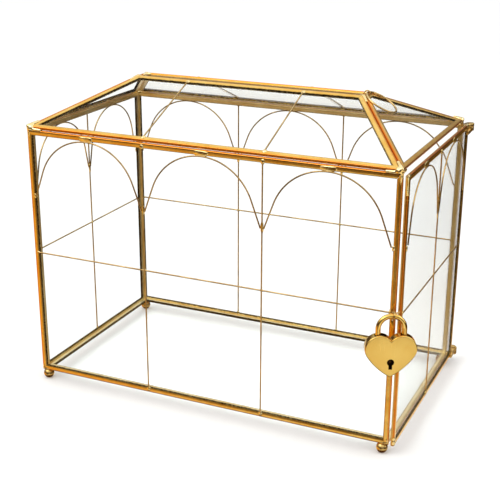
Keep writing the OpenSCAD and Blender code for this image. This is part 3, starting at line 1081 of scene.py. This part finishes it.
def heart_body(layers):
    """A skin over hearts, one for each (inset, y)."""
    bm = bmesh.new()
    loft(bm, [heart(inset, y) for inset, y in layers])
    bmesh.ops.recalc_face_normals(bm, faces=bm.faces)
    return bm


def lock_block(x, y, z):
    """A block on the padlock between the low and high of x, y and z."""
    bm = bmesh.new()
    made = bmesh.ops.create_cube(bm, size=1.0)["verts"]
    for v in made:
        share = v.co + Vector((0.5, 0.5, 0.5))
        v.co = on_lock(*(low + (high - low) * s for (low, high), s in zip((x, y, z), share)))
    bmesh.ops.recalc_face_normals(bm, faces=bm.faces)
    return bm


def lock_rod(x, z, radius, y):
    """A rod through the padlock from the low to the high of y."""
    bm = bmesh.new()
    turns = [2 * math.pi * k / 40 for k in range(40)]
    round_line = [(x + radius * math.cos(t), z + radius * math.sin(t)) for t in turns]
    loft(bm, [[on_lock(across, depth, high) for across, high in round_line] for depth in y])
    bmesh.ops.recalc_face_normals(bm, faces=bm.faces)
    return bm


def cut(bm, cutters):
    """bm with the cutters taken out of it."""
    def blank(source, name):
        mesh = bpy.data.meshes.new(name)
        source.to_mesh(mesh)
        source.free()
        made = bpy.data.objects.new(name, mesh)
        bpy.context.scene.collection.objects.link(made)
        return made

    body = blank(bm, "cut_body")
    tools = [blank(c, f"cutter{i}") for i, c in enumerate(cutters)]
    for tool in tools:
        step = body.modifiers.new("cut", "BOOLEAN")
        step.operation = "DIFFERENCE"
        step.solver = "EXACT"
        step.object = tool
    solid = body.evaluated_get(bpy.context.evaluated_depsgraph_get())
    left = bmesh.new()
    left.from_mesh(solid.to_mesh())
    solid.to_mesh_clear()
    for made in [body] + tools:
        mesh = made.data
        bpy.data.objects.remove(made)
        bpy.data.meshes.remove(mesh)
    return left


def rim_curve(radius, y_edge, y_way, steps=6):
    """Insets and depths of a rounded rim that ends at y_edge."""
    rows = []
    for k in range(steps + 1):
        a = math.pi / 2 * k / steps
        rows.append((radius * (1 - math.cos(a)), y_edge - y_way * radius * (1 - math.sin(a))))
    return rows


def face_plate():
    """The heart's front plate with its keyhole."""
    face_y = -LOCK_T / 2
    seam_y = face_y + PLATE_T
    layers = [(SEAM_EASE, seam_y), (0.0, seam_y - SEAM_EASE)]
    plate = heart_body(layers + rim_curve(PLATE_RIM, face_y, -1, 5)[1:])
    keyhole = [
        lock_rod(0, KEY_Z, KEY_R, (-LOCK_T, LOCK_T)),
        lock_block((-KEY_SLOT.x / 2, KEY_SLOT.x / 2), (-LOCK_T, LOCK_T), (KEY_Z - KEY_SLOT.y, KEY_Z)),
    ]
    plate = cut(plate, keyhole)
    # The plate's back and its eased seam edge, inside the padlock, take the near-black painted shade
    for f in plate.faces:
        if f.normal.dot(LOCK_BACK) < -0.98:
            f.material_index = 0
        else:
            f.material_index = 2 if depth_in_lock(f) > seam_y - 0.3 else 1
    finish_piece(
        plate,
        "heart_face_plate",
        "lock_body",
        [LOCK_FACE, LOCK_RIM, LOCK_INSIDE_SHADE],
        stands_for=["lock_front_plate"],
        sharp=30,
    )


def back_shell():
    """The hollow back of the padlock, open at the front and slotted for the shackle's legs."""
    seam_y = PLATE_T - LOCK_T / 2 + SEAM_GAP
    layers = [(SEAM_EASE, seam_y), (0.0, seam_y + SEAM_EASE)]
    shell = heart_body(layers + rim_curve(SHELL_RIM, LOCK_T / 2, 1))
    above = LOBE_Z + LOBE_R + 2
    hollow = heart_body([(SHELL_WALL, -LOCK_T), (SHELL_WALL, LOCK_T / 2 - SHELL_WALL)])
    cavity = BVHTree.FromBMesh(hollow)
    slot_y, slot_z = (-LEG_SLOT_T, LEG_SLOT_T), (LOBE_Z + 2, above)
    toe_slot = lock_block((-LEG_X - 2.5, -LEG_X + 6.5), slot_y, slot_z)
    heel_slot = lock_block((LEG_X - 2.5, LEG_X + LOBE_R + 3), slot_y, slot_z)
    shell = cut(shell, [hollow, toe_slot, heel_slot])
    # The hollow's faces and the front seam take the near-black painted shade
    for f in shell.faces:
        from_cavity = cavity.find_nearest(f.calc_center_median())[3]
        f.material_index = 1 if from_cavity < 0.01 or depth_in_lock(f) < seam_y + 0.2 else 0
    finish_piece(
        shell,
        "heart_back_shell",
        "lock_body",
        [LOCK_RIM, LOCK_INSIDE_SHADE],
        stands_for=["lock_back_shell"],
        sharp=30,
    )


face_plate()
back_shell()


def dress(node, material):
    """Gives one of the frame's own pieces its finish."""
    mesh = nodes[node].data
    mesh.materials.clear()
    mesh.materials.append(material)


for node_name, finish in (
    ("case_lock_eye", FITTING),
    ("door_lock_eye", FITTING),
    ("ring_staple", FITTING),
    ("pull_ring", RING),
    ("shackle", LOCK_RIM),
    # The pin, key post and bolt sit inside the padlock and take its painted shade
    ("shackle_pivot_pin", LOCK_INSIDE_SHADE),
    ("key_post", LOCK_INSIDE_SHADE),
    ("latch_bolt", LOCK_INSIDE_SHADE),
    ("latch_leaf_spring", STEEL),
):
    dress(node_name, finish)

# ---- stage, light and camera -------------------------------------------------------------------------


def floor():
    """A wide pale floor with the faintest unevenness, which metal doesn't mirror."""
    bm = bmesh.new()
    bmesh.ops.create_circle(bm, cap_ends=True, segments=96, radius=14.0)
    mesh = bpy.data.meshes.new("floor")
    bm.to_mesh(mesh)
    bm.free()
    material, made, out = new_material("pale_floor")
    place = made.add("ShaderNodeTexCoord").outputs["Object"]
    tone = made.mix(made.noise(place, 3.0, 2.0), colour(0.9, 0.9, 0.895), colour(0.93, 0.93, 0.925))
    shader = made.add("ShaderNodeBsdfPrincipled", {"Base Color": tone, "Roughness": 0.9})
    shader.inputs["Specular IOR Level"].default_value = 0.0
    hidden = made.add("ShaderNodeBsdfTransparent")
    mirrored = made.add("ShaderNodeLightPath").outputs["Glossy Depth"]
    mirrored = made.math("MINIMUM", mirrored, 1.0)
    mixed = made.add("ShaderNodeMixShader", {0: mirrored, 1: shader.outputs[0], 2: hidden.outputs[0]})
    made.link(mixed.outputs[0], out.inputs["Surface"])
    mesh.materials.append(material)
    made_floor = bpy.data.objects.new("floor", mesh)
    bpy.context.scene.collection.objects.link(made_floor)
    made_floor.visible_glossy = False


# What metal mirrors, by the height of the mirrored way: near black where cards and walls stand,
# warm below on the side where the box's own gold is reflected, and white above
WARM_SIDE = (
    (-1.0, colour(0.08, 0.035, 0.012)),
    (-0.72, colour(0.1, 0.045, 0.015)),
    (-0.58, colour(0.75, 0.36, 0.07)),
    (-0.36, colour(1.0, 0.56, 0.1)),
    (-0.27, colour(0.95, 0.6, 0.18)),
    (-0.18, colour(0.6, 0.42, 0.22)),
    (-0.08, colour(0.1, 0.05, 0.02)),
    (0.14, colour(0.09, 0.05, 0.025)),
    (0.3, colour(0.6, 0.54, 0.45)),
    (0.45, colour(0.95, 0.95, 0.93)),
    (1.0, colour(1.15, 1.17, 1.18)),
)
PALE_SIDE = (
    (-1.0, colour(0.08, 0.035, 0.012)),
    (-0.75, colour(0.1, 0.045, 0.015)),
    (-0.64, colour(0.7, 0.6, 0.45)),
    (-0.54, colour(1.05, 1.0, 0.92)),
    (-0.46, colour(1.0, 0.93, 0.82)),
    (-0.4, colour(0.42, 0.26, 0.1)),
    (-0.35, colour(0.13, 0.08, 0.02)),
    (0.16, colour(0.05, 0.028, 0.014)),
    (0.34, colour(0.5, 0.47, 0.42)),
    (0.46, colour(0.95, 0.95, 0.93)),
    (1.0, colour(1.15, 1.17, 1.18)),
)


def height_ramp(made, level, stops):
    """Colours by height, from -1 to 1."""
    ramp = made.add("ShaderNodeValToRGB", {"Fac": made.stretch(level, -1.0, 1.0)})
    elements = ramp.color_ramp.elements
    while len(elements) < len(stops):
        elements.new(0.5)
    for element, (at, shade) in zip(elements, stops):
        element.position = (at + 1) / 2
        element.color = shade
    return ramp.outputs[0]


def towards(made, way, direction, low, high):
    """How much a way points along a direction, from 0 at low to 1 at high."""
    inputs = {0: way, 1: Vector(direction).normalized()}
    facing = made.add("ShaderNodeVectorMath", inputs, operation="DOT_PRODUCT").outputs["Value"]
    return made.stretch(facing, low, high)


def studio_world():
    """Even white light all round, and for metal to mirror a dark horizon between bright bands."""
    world = bpy.data.worlds.new("studio")
    bpy.context.scene.world = world
    world.use_nodes = True
    world.node_tree.nodes.clear()
    made = Nodes(world.node_tree)
    out = made.add("ShaderNodeOutputWorld")
    way = made.add("ShaderNodeTexCoord").outputs["Generated"]
    height = made.add("ShaderNodeSeparateXYZ", {0: way}).outputs["Z"]
    wobble = made.math("MULTIPLY", made.math("SUBTRACT", made.noise(way, 2.6, 2.0), 0.5), 0.32)
    level = made.math("ADD", height, wobble)
    warm = height_ramp(made, level, WARM_SIDE)
    pale = height_ramp(made, level, PALE_SIDE)
    side = made.mix(towards(made, way, (-0.95, -0.31, 0), 0.57, 0.74), pale, warm)
    behind = towards(made, way, (0.8, 0.6, 0), 0.78, 0.9)
    below = made.stretch(height, 0.1, -0.1)
    shade = made.math("MULTIPLY", made.math("MULTIPLY", behind, below), 0.35)
    seen = made.mix(shade, side, colour(0.03, 0.015, 0.008))
    # The white wall far behind, which panes and bars seen almost edge on mirror
    ahead = towards(made, way, (-0.42, 0.86, -0.29), 0.9, 0.965)
    seen = made.mix(ahead, seen, colour(0.98, 0.97, 0.92))
    # A white card at the right front, for the padlock's face
    card = towards(made, way, (0.54, -0.74, -0.4), 0.93, 0.98)
    seen = made.mix(card, seen, colour(1.04, 0.98, 0.84))
    mirror = made.add("ShaderNodeBackground", {"Color": seen, "Strength": 1.0})
    even = made.add("ShaderNodeBackground", {"Color": colour(1.0, 1.0, 1.0), "Strength": 1.09})
    mirrored = made.add("ShaderNodeLightPath").outputs["Glossy Depth"]
    mirrored = made.math("MINIMUM", mirrored, 1.0)
    mixed = made.add("ShaderNodeMixShader", {0: mirrored, 1: even.outputs[0], 2: mirror.outputs[0]})
    made.link(mixed.outputs[0], out.inputs["Surface"])


def softbox(name, at, aim, size, power):
    """A soft rectangular lamp turned to what it lights."""
    lamp = bpy.data.lights.new(name, "AREA")
    lamp.shape = "RECTANGLE"
    lamp.size, lamp.size_y = size
    lamp.energy = power
    holder = bpy.data.objects.new(name, lamp)
    bpy.context.scene.collection.objects.link(holder)
    holder.location = at
    holder.rotation_euler = (Vector(aim) - Vector(at)).to_track_quat("-Z", "Y").to_euler()


VIEW_TURN = (24.13, 19.641, 0.312)
VIEW_AT = Vector((342.0, -760.7, 410.0))
VIEW_LENS = 75.3


def camera():
    """Looks at the box from the right of its front and from above, a long lens away."""
    azimuth, elevation, roll = (math.radians(a) for a in VIEW_TURN)
    back = Vector(
        (
            math.sin(azimuth) * math.cos(elevation),
            -math.cos(azimuth) * math.cos(elevation),
            math.sin(elevation),
        )
    )
    level = Vector((math.cos(azimuth), math.sin(azimuth), 0))
    upright = back.cross(level)
    right = math.cos(roll) * level + math.sin(roll) * upright
    up = math.cos(roll) * upright - math.sin(roll) * level
    view = bpy.data.cameras.new("camera")
    view.sensor_width = 36
    view.lens = VIEW_LENS
    holder = bpy.data.objects.new("camera", view)
    bpy.context.scene.collection.objects.link(holder)
    turn = Matrix((right, up, back)).transposed().to_4x4()
    holder.matrix_world = Matrix.Translation(CASE + MM * VIEW_AT) @ turn
    bpy.context.scene.camera = holder


floor()
studio_world()
softbox("key_softbox", (-0.7, -0.9, 1.4), (0, 0, 0.12), (1.2, 0.9), 7)
softbox("side_softbox", (1.5, 0.2, 0.7), (0, 0, 0.1), (0.5, 1.2), 4)
camera()
bpy.context.scene.view_settings.view_transform = "Standard"
